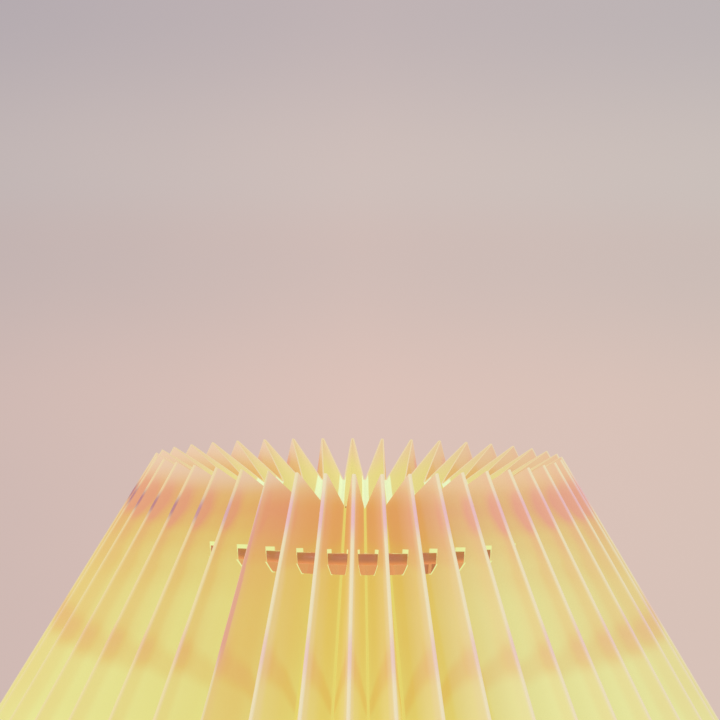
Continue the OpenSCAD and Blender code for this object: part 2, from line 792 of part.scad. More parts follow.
// Board that closes the recess under the body
module bottom_cover() {
    color("tan")
    translate([0, 0, foot_z])
    cylinder(h = cover_t, r = foot_r - foot_ring_w + cover_ledge - fit_gap);
}

// Felt disc that the lamp stands on
module felt_pad() {
    color("darkolivegreen")
    cylinder(h = pad_t, r = foot_r - pad_inset);
}

shade_sheet();
carrier_ring();
carrier_arms();
carrier_hub();
retaining_ring();
bulb_globe();
bulb_housing();
diode_board();
bulb_cap();
bulb_insulator();
bulb_tip();
holder_skirt();
screw_sleeve();
centre_contact();
side_contact();
terminal_screws();
holder_insert();
holder_cap();
neck_collar();
neck_cap();
stem_tube();
ceramic_body();
foot_washer();
foot_nut();
cord_bushing();
bottom_cover();
felt_pad();
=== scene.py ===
"""Looks of a table lamp: a pleated shade that glows, its wire carrier, the lamp holder, the bulb
and a glazed ceramic body. Sizes are metres, Z is up and the front is -Y."""

import math
from contextlib import contextmanager

import bpy
from bpy.props import FloatProperty, FloatVectorProperty, IntProperty, PointerProperty
from mathutils import Color, Matrix, Vector


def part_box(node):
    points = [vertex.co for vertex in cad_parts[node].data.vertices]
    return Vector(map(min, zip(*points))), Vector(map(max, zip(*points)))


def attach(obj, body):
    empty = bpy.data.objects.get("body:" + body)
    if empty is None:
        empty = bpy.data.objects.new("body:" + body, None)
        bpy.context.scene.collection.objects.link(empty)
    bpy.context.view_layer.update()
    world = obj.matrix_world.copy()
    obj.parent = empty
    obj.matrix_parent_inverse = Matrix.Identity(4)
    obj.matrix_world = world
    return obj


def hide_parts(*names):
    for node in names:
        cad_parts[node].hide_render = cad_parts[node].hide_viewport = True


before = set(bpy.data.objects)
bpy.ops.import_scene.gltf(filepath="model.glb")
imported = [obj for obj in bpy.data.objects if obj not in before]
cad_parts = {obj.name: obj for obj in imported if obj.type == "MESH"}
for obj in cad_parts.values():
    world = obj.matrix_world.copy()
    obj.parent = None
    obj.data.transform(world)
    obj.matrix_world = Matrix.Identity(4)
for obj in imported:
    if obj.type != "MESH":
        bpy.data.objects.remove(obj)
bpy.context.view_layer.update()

bl_info = {
    "name": "Pleated table lamp",
    "version": (1, 0),
    "blender": (4, 5, 0),
    "location": "3D View > Sidebar > Lamp",
    "description": "Dresses the frame of a table lamp with a pleated shade",
    "category": "Object",
}

MM = 0.001
NOTCH_TOP_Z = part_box("carrier_ring")[1].z
WIRE_D = 3*MM
ARM_ROOM = 3.4*MM
WELD_IN = 3.2*MM  # from the ring's outer side to the weld of an arm
WELD_UP = 1.3*MM  # from the ring's underside to that weld
RUN_OUT = 0.2  # turns over which the skirt's thread ends
SCREW_STEPS = 72  # steps in one turn of it
TABLE_R = 1.2
LIGHT_D = 1.2
LIGHT_WATTS = 6
LIGHT_AT = Vector((-0.9, -1.1, 1.3))
LIT_POINT = Vector((0, 0, 0.2))
FLAT_MAP = "Flat sheet"
SECOND_SHADOW_DEPTH = 47*MM
BLACK = (0.0, 0.0, 0.0, 1.0)
PALE_SIDE_TINT = (0.005, 0.03, 0.085, 1.0)
LESS_BLUE = (1.0, 1.0, 0.76, 1.0)
WALL_PATCH = (0.3, 0.3, 0.33, 1.0)
# How well the sheet is lit at depths under the rim, at the sides and at the front.
SIDE_LIGHT = ((0, 0.50), (0.004, 0.42), (0.0075, 0.33), (0.011, 0.27), (0.0145, 0.38),
              (0.019, 0.54), (0.026, 0.70), (0.036, 0.82), (0.062, 0.86), (0.080, 0.96),
              (0.110, 0.86), (0.148, 0.55))
FRONT_LIGHT = ((0, 0.46), (0.004, 0.34), (0.007, 0.17), (0.012, 0.11), (0.018, 0.14),
               (0.022, 0.28), (0.026, 0.48), (0.040, 0.55), (0.060, 0.66), (0.080, 0.82),
               (0.110, 0.74), (0.148, 0.5))


def length(name, description, default, low, high):
    """A size in metres that a user may change."""
    return FloatProperty(name=name, description=description, default=default, min=low, max=high,
                         unit="LENGTH", subtype="DISTANCE", precision=5)


def angle(name, description, degrees, low, high):
    """An angle that a user may change. The arguments are degrees."""
    return FloatProperty(name=name, description=description, default=math.radians(degrees),
                         min=math.radians(low), max=math.radians(high), subtype="ANGLE")


def share(name, description, default):
    """A share from 0 to 1."""
    return FloatProperty(name=name, description=description, default=default, min=0, max=1,
                         subtype="FACTOR")


def paint(name, description, red, green, blue):
    """A colour as the screen shows it, from 0 to 255."""
    return FloatVectorProperty(name=name, description=description, size=3, min=0, max=1,
                               default=(red/255, green/255, blue/255), subtype="COLOR_GAMMA")


class ShadeSettings(bpy.types.PropertyGroup):
    """Sizes of the pleated sheet."""
    rim_d: length("Rim diameter", "Across the tips of the outer folds at the rim", 0.120, 0.1, 0.16)
    drop: length("Height", "Height of an outer fold", 0.148, 0.1, 0.18)
    slope: angle("Slope", "Lean of the outer folds from the vertical", 31.3, 20, 40)
    pleats: IntProperty(name="Pleats", description="Number of pleats", default=40, min=24, max=60)
    face_w: length("Face width", "Width of a face between two folds", 0.0228, 0.015, 0.03)
    sheet_t: length("Thickness", "Thickness of the sheet", 0.0004, 0.0002, 0.001)
    gather: share("Gather", "How much closer the pleats stand where they are closest", 0.12)
    gather_turn: angle("Gather place", "Angle from the front round to that place", 21, 0, 45)
    end_gather: share("End gather", "How much closer they also stand at the front and back", 0.08)
    turn: angle("Turn", "Angle from the front round to the first outer fold", -4.6, -6, 3)
    seam_face: IntProperty(name="Seam face", default=-6, min=-12, max=12,
                           description="Face that both ends share, from the first fold")
    seam_depth: FloatProperty(name="Seam depth", default=1.2, min=1, max=2,
                              description="Depth of the last face under the first, in sheets")
    fold_r: length("Fold radius", "Radius of a fold at the middle of the sheet", 0.0003, 0.0001,
                   0.001)
    notch_drop: length("Notch drop", "Depth of the notches under the rim", 0.022, 0.01, 0.04)
    notch_h: length("Notch height", "Height of a notch", 0.0056, 0.003, 0.01)
    notch_corner: length("Notch corner", "Slanted corner at a notch's foot", 0.0024, 0.001, 0.004)
    notch_side: length("Notch space", "Free space in a notch outside the ring", 0.0042, 0.001,
                       0.01)
    notch_tilt: angle("Notch tilt", "Fall of a notch's cuts towards the inner fold", 6.5, 0, 10)


class CarrierSettings(bpy.types.PropertyGroup):
    """Places of the carrier's arms and the size of their welds."""
    arms: IntProperty(name="Arms", description="Number of arms", default=3, min=2, max=4)
    arm_turn: angle("Arm turn", "Angle from the front round to the first arm", 30, 0, 60)
    foot_r: length("Arm foot", "From the axis to an arm's foot on the hub", 0.029, 0.027, 0.031)
    weld: length("Weld", "Half the width of a weld", 0.0017, 0.001, 0.002)

    def turns(self):
        """Angle of each arm from the front round."""
        return [self.arm_turn + 2*math.pi*i/self.arms for i in range(self.arms)]


class HolderSettings(bpy.types.PropertyGroup):
    """Sizes of the screw threads."""
    skirt_d: length("Skirt", "Across the skirt under its thread", 0.040, 0.038, 0.042)
    skirt_pitch: length("Skirt pitch", "Pitch of the skirt's thread", 0.0030, 0.002, 0.004)
    ridge: length("Ridge", "How far the skirt's thread stands out", 0.0008, 0.0004, 0.0012)
    lamp_pitch: length("Bulb pitch", "Pitch of the bulb's thread", 0.0036, 0.003, 0.004)


class GlowSettings(bpy.types.PropertyGroup):
    """Colours of the lit sheet, which paint its glow, light and shade."""
    glow: share("Glow", "How much of the sheet's colour shines from inside", 0.68)
    room: share("Room light", "How much of the sheet's colour the room's light shows", 0.35)
    ember: paint("Ember", "Least lit sheet", 227, 160, 119)
    amber: paint("Amber", "A little better lit sheet", 227, 180, 110)
    honey: paint("Honey", "Half lit sheet", 227, 198, 114)
    straw: paint("Straw", "Well lit sheet", 228, 216, 134)
    lemon: paint("Lemon", "Best lit sheet", 230, 233, 153)
    pale: paint("Pale rim", "Room light on the upper edge", 232, 203, 176)
    # Painted room light just under the upper edge.
    rim_light_blush: paint("Blush", "Just under the upper edge", 231, 191, 153)
    halo: paint("Halo", "Light that gathers beside an outer fold", 231, 209, 168)
    # Cream, tan, mauve and plum paint the light and shade along the outer folds.
    cream: paint("Cream", "Outer folds", 231, 218, 182)
    tan: paint("Tan", "Outer folds on the left", 230, 214, 163)
    mauve: paint("Mauve", "Outer folds where the sheet is least lit", 227, 184, 188)
    plum: paint("Plum", "Outer folds on the left where the sheet is least lit", 180, 124, 136)
    # A shaded pink: the glue line at the seam with the shade of its overlap, and the left outer
    # folds in the second shadow band.
    shaded_rose: paint("Rose", "Glue line at the seam", 225, 163, 146)
    # Painted bulb light on the inner folds.
    lit_crease: paint("Crease", "Inner folds seen from the outside", 231, 219, 120)
    lime: paint("Lime", "Cut edges that carry the bulb's light", 237, 252, 178)
    inner: paint("Inside", "Inner side of the sheet, lit by the bulb", 231, 220, 146)
    # Inside rim, band and hot paint the bulb's light and shade on the inner side. The band is a
    # painted shadow.
    inner_rim: paint("Inside rim", "Inner side of the sheet at the rim", 232, 208, 165)
    inner_shadow_band: paint("Inside band", "Inner side beside the carrier's dark ring", 226, 162, 102)
    hot: paint("Hot", "Inner folds seen from the inside", 236, 252, 206)


class FinishSettings(bpy.types.PropertyGroup):
    """Colours of the other pieces."""
    wire: paint("Carrier", "Paint of the wire carrier", 190, 128, 110)
    wire_lit: paint("Lit carrier", "Underside of the carrier, over the bulb", 226, 140, 84)
    shell: paint("Holder", "Moulded shells of the lamp holder", 232, 229, 220)
    housing: paint("Bulb housing", "Plastic of the bulb's housing", 236, 234, 228)
    globe: paint("Globe", "Frosted globe", 255, 244, 214)
    board: paint("Board", "Lacquer on the diode board", 238, 236, 226)
    diode: paint("Diode", "Phosphor on the diodes", 244, 208, 88)
    glaze: paint("Glaze", "Glaze of the ceramic body", 176, 199, 200)
    glaze_deep: paint("Deep glaze", "Glaze where it lies thick", 128, 160, 166)
    glaze_thin: paint("Thin glaze", "Glaze where it runs thin over an edge", 203, 202, 178)
    crackle: paint("Crackle", "Fine lines in the glaze", 112, 138, 140)
    clay: paint("Clay", "Bare clay of the foot", 214, 196, 170)
    brass: paint("Brass", "Neck fittings", 196, 158, 92)
    zinc: paint("Zinc", "Plated steel of the stem, washer and nut", 186, 188, 190)
    porcelain: paint("Porcelain", "Insert of the lamp holder", 238, 236, 230)
    rubber: paint("Bushing", "Bushing round the cord's way in", 52, 50, 50)
    kraft: paint("Cover board", "Pressed board under the foot", 170, 134, 92)
    felt: paint("Felt", "Pad under the foot", 74, 84, 66)


class StageSettings(bpy.types.PropertyGroup):
    """Room and camera."""
    wall_top: paint("Wall, top", "Wall at the top of the picture", 193, 180, 181)
    wall_high: paint("Wall, high", "Wall above the lamp", 208, 192, 187)
    wall_mid: paint("Wall, middle", "Wall a little above the shade", 209, 189, 183)
    wall_low: paint("Wall, low", "Wall behind the shade", 222, 195, 185)
    floor: paint("Table", "Table top", 222, 204, 194)
    far: length("Camera distance", "From the lamp's axis to the camera", 0.600, 0.3, 2)
    rise: length("Camera height", "Of the camera above the rim", 0.0518, 0, 0.3)
    pitch: angle("Pitch", "Tilt of the camera below the horizon", 2.29, 0, 30)
    roll: angle("Roll", "Turn of the camera about its own axis", 0.54, -5, 5)
    lens: FloatProperty(name="Lens", description="Focal length in millimetres on a 36 mm sensor",
                        default=101.65, min=35, max=200)
    light: FloatProperty(name="Light", description="Strength of the even light", default=0.92,
                         min=0, max=2)


def linear(colour):
    """Scene colour of a screen colour."""
    return tuple(c/12.92 if c <= 0.04045 else ((c + 0.055)/1.055)**2.4 for c in colour) + (1.0,)


def dimmed(colour, part):
    """Scene colour of a screen colour, with its light cut to a part of it."""
    return tuple(c*part for c in linear(colour)[:3]) + (1.0,)


class Tree:
    """A node tree, with short calls that add a node and wire it."""

    def __init__(self, tree):
        self.nodes = tree.nodes
        self.links = tree.links

    def feed(self, socket, value):
        """Wires an output into a socket, or writes a plain value or a screen colour on it."""
        if isinstance(value, bpy.types.NodeSocket):
            self.links.new(value, socket)
        else:
            socket.default_value = linear(value) if isinstance(value, Color) else value

    def add(self, kind, inputs=None, **settings):
        """Adds a node, with its settings and with its inputs fed by name or number."""
        node = self.nodes.new("ShaderNode" + kind)
        for name, value in settings.items():
            setattr(node, name, value)
        for name, value in (inputs or {}).items():
            self.feed(node.inputs[name], value)
        return node

    def math(self, operation, *values):
        return self.add("Math", dict(enumerate(values)), operation=operation).outputs[0]

    def plus(self, first, second):
        return self.math("ADD", first, second)

    def minus(self, first, second):
        return self.math("SUBTRACT", first, second)

    def most(self, first, second):
        return self.math("MAXIMUM", first, second)

    def times(self, *factors):
        """Product of several masks."""
        product = factors[0]
        for factor in factors[1:]:
            product = self.math("MULTIPLY", product, factor)
        return product

    def rest(self, mask):
        """1 where the mask is 0, and 0 where it is 1."""
        return self.minus(1.0, mask)

    def step(self, value, low, high, easing="SMOOTHSTEP"):
        """0 below low and 1 above high, smooth between. With low above high it falls."""
        ends = {"Value": value, "From Min": low, "From Max": high}
        return self.add("MapRange", ends, interpolation_type=easing).outputs["Result"]

    def peak(self, value, middle, core, reach):
        """1 within core of the middle, falling to 0 at reach from it."""
        return self.step(self.math("ABSOLUTE", self.minus(value, middle)), reach, core)

    def mix(self, factor, first, second, blend="MIX"):
        sockets = {0: factor, 6: first, 7: second}
        return self.add("Mix", sockets, data_type="RGBA", blend_type=blend).outputs[2]

    def coats(self, colour, *layers):
        """Lays tones over a colour in turn. A layer is a mask and its tone."""
        for mask, tone in layers:
            colour = self.mix(mask, colour, tone)
        return colour

    def ramp(self, value, stops, easing="LINEAR"):
        """Scene colours at places from 0 to 1."""
        node = self.add("ValToRGB", {0: value})
        node.color_ramp.interpolation = easing
        elements = node.color_ramp.elements
        while len(elements) < len(stops):
            elements.new(0.5)
        for element, (place, colour) in zip(elements, stops):
            element.position = place
            element.color = colour
        return node.outputs[0]

    def curve(self, value, points):
        """Smooth curve through points, each a place and a level. Places are fed in metres."""
        reach = points[-1][0]
        stops = [(place/reach, (level, level, level, 1.0)) for place, level in points]
        return self.ramp(self.math("DIVIDE", value, reach), stops, "EASE")

    def places(self):
        """Object coordinates."""
        if "Places" not in self.nodes:
            self.add("TexCoord").name = "Places"
        return self.nodes["Places"].outputs["Object"]

    def axes(self, vector):
        return self.add("SeparateXYZ", {0: vector}).outputs[:]

    def from_axis(self):
        """Object coordinates, and the distance from the lamp's axis."""
        x, y, z = self.axes(self.places())
        return x, y, z, self.math("SQRT", self.plus(self.times(x, x), self.times(y, y)))

    def stretched(self, x, y, z):
        """Object coordinates times a factor on each axis."""
        vectors = {0: self.places(), 1: (x, y, z)}
        return self.add("VectorMath", vectors, operation="MULTIPLY").outputs[0]

    def warped(self, scale, reach):
        """Object coordinates pushed about by a noise, up to the reach in metres."""
        push = self.add("TexNoise", {"Vector": self.places(), "Scale": scale}).outputs["Color"]
        vectors = {0: push, 1: (reach, reach, reach), 2: self.places()}
        return self.add("VectorMath", vectors, operation="MULTIPLY_ADD").outputs[0]

    def noise(self, scale, detail=2.0, roughness=0.5, vector=None):
        grain = {"Vector": vector or self.places(), "Scale": scale, "Detail": detail,
                 "Roughness": roughness}
        return self.add("TexNoise", grain).outputs["Fac"]

    def cracks(self, scale, vector, width):
        """1 on the lines of a net of fine cracks. The width is a share of a mesh of the net."""
        net = self.add("TexVoronoi", {"Vector": vector, "Scale": scale},
                       feature="DISTANCE_TO_EDGE")
        return self.step(net.outputs["Distance"], width, width*0.4)


class Finish(Tree):
    """A material."""

    def __init__(self, name):
        self.material = bpy.data.materials.new(name)
        self.material.use_nodes = True
        super().__init__(self.material.node_tree)
        self.shader = self.nodes["Principled BSDF"]

    def set(self, **values):
        """Sets the shader's sockets: base_color is written for Base Color."""
        names = {socket.name.lower().replace(" ", "_"): socket for socket in self.shader.inputs}
        for name, value in values.items():
            self.feed(names[name], value)
        return self.material

    def bump(self, height, depth, strength=1.0):
        """Bump of a height from 0 to 1 that is depth metres deep, over what was there before."""
        sockets = {"Strength": strength, "Distance": depth, "Height": height}
        normal = self.shader.inputs["Normal"]
        if normal.is_linked:
            sockets["Normal"] = normal.links[0].from_socket
        self.feed(normal, self.add("Bump", sockets).outputs["Normal"])

    def soften_edges(self, radius):
        """Rounds sharp edges to the eye. It comes before any bump."""
        bevel = self.add("Bevel", {"Radius": radius}, samples=4)
        self.feed(self.shader.inputs["Normal"], bevel.outputs["Normal"])

    def thread(self, low, high, radius, pitch):
        """Screw thread about the axis, on what stands at the radius or further out."""
        x, y, z, away = self.from_axis()
        turn = self.math("DIVIDE", self.math("ARCTAN2", y, x), 2*math.pi)
        climb = self.minus(self.math("DIVIDE", z, pitch), turn)
        ridge = self.step(self.math("PINGPONG", climb, 0.5), 0.08, 0.42)
        cut = self.times(ridge, self.step(away, radius - 0.5*MM, radius - 0.3*MM),
                         self.step(z, low + 0.6*MM, low + 1.4*MM),
                         self.step(z, high - 0.6*MM, high - 1.4*MM))
        self.bump(cut, 0.9*MM)


class SheetFinish(Finish):
    """A finish of the lit sheet. It knows how far a point lies along the strip, from the nearest
    outer fold and below the rim."""

    def __init__(self, name):
        super().__init__(name)
        self.shade = bpy.context.scene.lamp_shade
        self.glow = bpy.context.scene.lamp_glow
        flat = self.add("UVMap", uv_map=FLAT_MAP).outputs[0]
        self.along = self.axes(flat)[0]
        self.across = self.math("PINGPONG", self.along, self.shade.face_w)
        height = self.axes(self.places())[2]
        self.depth = self.minus(NOTCH_TOP_Z + self.shade.notch_drop, height)

    def shine(self, colour, roughness):
        """Shows a colour partly as painted glow, which stands for the bulb's light through the
        sheet, and partly by the room's light.
        """
        return self.set(base_color=self.mix(self.glow.room, BLACK, colour),
                        emission_color=colour, emission_strength=self.glow.glow,
                        roughness=roughness, specular_ior_level=0.25)

    def clouds(self):
        """Soft patches of the sheet's thickness, above and below 0."""
        return self.minus(self.noise(38, 3), 0.5)

    def fibrous(self, colour):
        """Lit sheet of a colour, with its fibres."""
        fibres = self.noise(900, 4, 0.6)
        self.bump(fibres, 0.03*MM)
        return self.shine(self.mix(self.times(fibres, 0.08), colour, self.glow.cream), 0.6)


def notch_fringe(paper, radius):
    """1 on narrow strips at a notch's outer end, where the cut edge glows: over its top, on the
    slanted corner at its foot, and faintly up its side."""
    shade = paper.shade
    step, peak, times = paper.step, paper.peak, paper.times
    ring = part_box("carrier_ring")[1].x
    end = ring + shade.notch_side
    foot = shade.notch_drop + shade.notch_h
    fall = times(paper.minus(radius, ring - WIRE_D), math.tan(shade.notch_tilt))
    level = paper.plus(paper.depth, fall)
    top = times(step(radius, end - 4.6*MM, end - 3.8*MM), step(radius, end + 0.5*MM, end + 0.1*MM),
                peak(level, shade.notch_drop - 0.15*MM, 0.85*MM, 1.1*MM))
    slant = end + foot - shade.notch_corner
    corner = times(peak(paper.plus(radius, level), slant, 0.6*MM, 0.9*MM),
                   peak(level, foot - shade.notch_corner/2, 1.2*MM, 1.6*MM))
    side = times(peak(radius, end, 0.2*MM, 0.5*MM),
                 peak(level, shade.notch_drop + 1.6*MM, 1.4*MM, 2.0*MM), 0.3)
    return paper.most(paper.most(top, corner), side)


def sheet_outside_finish():
    """Outer side of the lit sheet, all painted light and shade: two shadow bands over a lit cone,
    with pale folds.
    """
    paper = SheetFinish("sheet_outside")
    shade, glow = paper.shade, paper.glow
    along, across, depth = paper.along, paper.across, paper.depth
    step, peak, times, mix = paper.step, paper.peak, paper.times, paper.mix
    plus, minus, most, rest = paper.plus, paper.minus, paper.most, paper.rest
    x, y, _, radius = paper.from_axis()
    front = step(paper.math("DIVIDE", times(y, -1.0), radius), 0.84, 0.992)
    off_front = rest(front)
    sideways = paper.math("DIVIDE", x, radius)
    left = step(sideways, -0.35, -0.8)
    half_left = times(step(sideways, -0.12, -0.38), step(sideways, -0.85, -0.6))
    right = step(sideways, 0.02, 0.45)
    cloud = paper.clouds()
    down = plus(depth, times(cloud, 0.004))
    light = mix(front, paper.curve(down, SIDE_LIGHT), paper.curve(down, FRONT_LIGHT))

    # Painted shade that takes light from the sheet or, with a minus, painted light that adds to it.
    beside_fold = step(across, 6*MM, 1*MM)
    first_shadow_band = times(peak(down, 11*MM, 2*MM, 7*MM), beside_fold)
    # Painted shade where the second shadow band meets an outer fold.
    band_shade_by_fold = times(peak(down, SECOND_SHADOW_DEPTH, 1.5*MM, 7*MM), beside_fold)
    # Painted shade beside the outer folds: on their upper part away from the front, and at the
    # sides.
    upper = times(off_front, beside_fold, step(down, 52*MM, 40*MM))
    side_fold_shade = times(step(across, 3.2*MM, 0.8*MM),
                         most(step(sideways, -0.15, -0.6), step(sideways, 0.4, 0.65)))
    valley = step(across, 15*MM, 21*MM)
    lit_valley = times(half_left, step(across, 7*MM, 18*MM), step(down, 16*MM, 26*MM))
    # The second painted shadow band falls across a face and gets narrower towards the inner fold.
    band_line = plus(SECOND_SHADOW_DEPTH - 0.5*MM, times(across, 15.5*MM/shade.face_w))
    band_width = minus(5.5*MM, times(across, 0.12))
    second_shadow_band = peak(down, band_line, 0.8*MM, band_width)
    doubled = step(along, shade.face_w*1.01, shade.face_w*0.99)
    for mask, loss in ((times(first_shadow_band, off_front), 0.26), (times(first_shadow_band, front), 0.10),
                       (upper, 0.13), (side_fold_shade, 0.14), (valley, -0.04),
                       (lit_valley, -0.13), (second_shadow_band, 0.17), (band_shade_by_fold, 0.12),
                       (doubled, 0.16), (cloud, 0.10)):
        light = minus(light, times(mask, loss))
    tones = (glow.ember, glow.amber, glow.honey, glow.straw, glow.lemon)
    colour = paper.ramp(light, [(i/4, linear(tone)) for i, tone in enumerate(tones)])
    # Painted light: the sides are paler near the outer folds.
    pale_side_light = times(most(right, times(left, 0.3)), step(across, 13*MM, 10*MM))
    colour = mix(pale_side_light, colour, PALE_SIDE_TINT, "ADD")
    # Painted glow: the front faces turn a deeper yellow away from their outer folds.
    deep = times(front, step(across, 4*MM, 12*MM), rest(half_left))
    colour = mix(deep, colour, LESS_BLUE, "MULTIPLY")

    # Outer folds, painted pale where light gathers on them, painted darker where they cross the
    # shadow bands, and fainter on the left.
    first_dark = mix(left, peak(depth, 10.5*MM, 1*MM, 7.5*MM),
                     peak(depth, 11.5*MM, 0.5*MM, 4.5*MM))
    second_dark = mix(left, times(peak(depth, 44*MM, 1*MM, 8*MM), 0.6),
                      times(peak(depth, 45*MM, 0.5*MM, 6*MM), 0.35))
    fold_colour = paper.coats(glow.cream, (step(sideways, -0.12, -0.55), glow.tan),
                              (second_dark, mix(left, glow.mauve, glow.shaded_rose)),
                              (first_dark, mix(left, glow.mauve, glow.plum)))
    faint = times(left, 0.35, rest(first_dark))
    fold = times(step(across, 0.70*MM, 0.25*MM), rest(faint))

    # Painted room light under the rim: a pink blush, a pale rim that is weaker on the right, and
    # pale fold tips at the front.
    rim_light_blush = times(step(depth, 10*MM, 4*MM), 0.5)
    rim_reach = plus(5*MM, times(off_front, 2.8*MM))
    rim = times(step(depth, rim_reach, 1*MM), minus(0.9, times(right, 0.55)))
    halo = times(step(across, 3.6*MM, 0), front, 0.55)
    tip = times(step(across, 3*MM, 0.5*MM), front, step(depth, 9*MM, 4*MM), 0.2)
    # Painted bulb light on the inner folds seen from the outside.
    lit_crease = times(step(across, shade.face_w - 2.7*MM, shade.face_w - 1.5*MM), 0.9)
    # The glue line at the seam, painted as a pink shade where the overlap holds back the light.
    seam = most(peak(along, shade.face_w*2*shade.pleats, 1.0*MM, 1.5*MM),
                step(along, 1.5*MM, 1.0*MM))
    glue = times(seam, step(depth, 50*MM, 42*MM), step(depth, 5*MM, 18*MM), 0.9)
    return paper.fibrous(paper.coats(
        colour, (rim_light_blush, glow.rim_light_blush), (rim, glow.pale), (halo, glow.halo), (tip, glow.pale),
        (fold, fold_colour), (lit_crease, glow.lit_crease), (notch_fringe(paper, radius), glow.lime),
        (glue, glow.shaded_rose)))


def sheet_inside_finish():
    """Inner side of the sheet, lit straight by the bulb."""
    paper = SheetFinish("sheet_inside")
    glow = paper.glow
    valley = paper.shade.face_w
    down = paper.plus(paper.depth, paper.times(paper.clouds(), 0.008))
    # Painted light and shade on the inner side: bright bulb light on the inner folds, another tone
    # at the rim, a painted shadow band, and less light towards the foot.
    hot = paper.times(paper.step(paper.across, valley - 3.4*MM, valley - 2.5*MM),
                      paper.step(down, 26*MM, 20*MM))
    return paper.fibrous(paper.coats(
        glow.inner, (paper.step(down, 12*MM, 1*MM), glow.inner_rim),
        (paper.peak(down, SECOND_SHADOW_DEPTH, 6*MM, 13*MM), glow.inner_shadow_band),
        (paper.step(down, 85*MM, 148*MM), glow.honey), (hot, glow.hot)))


def sheet_edge_finish():
    """Cut edges of the sheet, which carry the bulb's light."""
    edge = SheetFinish("sheet_edge")
    glow = edge.glow
    return edge.shine(edge.coats(
        glow.halo, (edge.step(edge.depth, 12*MM, 18*MM), glow.lime),
        (edge.step(edge.depth, 40*MM, 90*MM), glow.cream),
        (edge.times(edge.noise(700, 2), 0.2), glow.straw)), 0.7)


def wire_finish():
    """Brown paint over wire, with runs and worn high spots, and warm where the bulb lights it."""
    finishes = bpy.context.scene.lamp_finishes
    wire = Finish("painted_wire")
    runs = wire.noise(120, 4, 0.6)
    worn = wire.times(wire.step(wire.noise(40, 5, 0.7), 0.62, 0.72), 0.3)
    colour = wire.coats(dimmed(finishes.wire, 0.7), (runs, finishes.wire),
                        (worn, finishes.zinc))
    facing = wire.add("NewGeometry").outputs["Normal"]
    lit = wire.step(wire.axes(facing)[2], 0.1, -0.9)
    wire.soften_edges(0.35*MM)
    wire.bump(runs, 0.05*MM)
    wire.bump(wire.noise(1100, 3), 0.03*MM)
    # The emission is painted bulb light: a warm glow all over, stronger on the underside.
    return wire.set(base_color=colour, roughness=wire.step(runs, -0.6, 1.8), coat_weight=0.2,
                    emission_color=finishes.wire_lit,
                    emission_strength=wire.plus(0.17, wire.times(lit, 0.4)))


def moulded_finish(name, colour, roughness=0.32, grain=0.015):
    """Moulded plastic or porcelain: faint flow lines and a fine surface grain."""
    plastic = Finish(name)
    flow = plastic.noise(30, 3, 0.55)
    plastic.soften_edges(0.4*MM)
    plastic.bump(plastic.noise(1600, 2), grain*MM)
    return plastic.set(base_color=plastic.mix(flow, dimmed(colour, 0.86), colour),
                       roughness=plastic.plus(roughness - 0.05, plastic.times(flow, 0.1)))


def turned_metal_finish(name, colour, roughness, thread=None):
    """Turned or drawn metal: fine lines round the axis, smudges and dulled spots. A thread is
    its low and high end, radius and pitch."""
    metal = Finish(name)
    metal.soften_edges(0.3*MM)
    if thread:
        metal.thread(*thread)
    metal.bump(metal.noise(1, 2, 0.6, metal.stretched(20, 20, 2600)), 0.012*MM)
    smudge = metal.noise(55, 4, 0.6)
    return metal.set(base_color=metal.mix(smudge, dimmed(colour, 0.72), colour), metallic=1.0,
                     roughness=metal.plus(roughness - 0.08, metal.times(smudge, 0.22)))


def globe_finish():
    """Frosted globe, brightest in the middle and softer round its outline."""
    frost = Finish("frosted_globe")
    outline = frost.add("LayerWeight", {"Blend": 0.35}).outputs["Facing"]
    warm = linear(bpy.context.scene.lamp_finishes.globe)
    dim = tuple(c*k for c, k in zip(warm, (0.86, 0.74, 0.55, 1.0)))
    mottle = frost.times(frost.noise(70, 3), 0.12)
    colour = frost.mix(frost.plus(outline, mottle), warm, dim)
    frost.bump(frost.noise(2200, 2), 0.01*MM)
    return frost.set(base_color=frost.mix(0.7, colour, BLACK), emission_color=colour,
                     emission_strength=0.75, roughness=0.5)


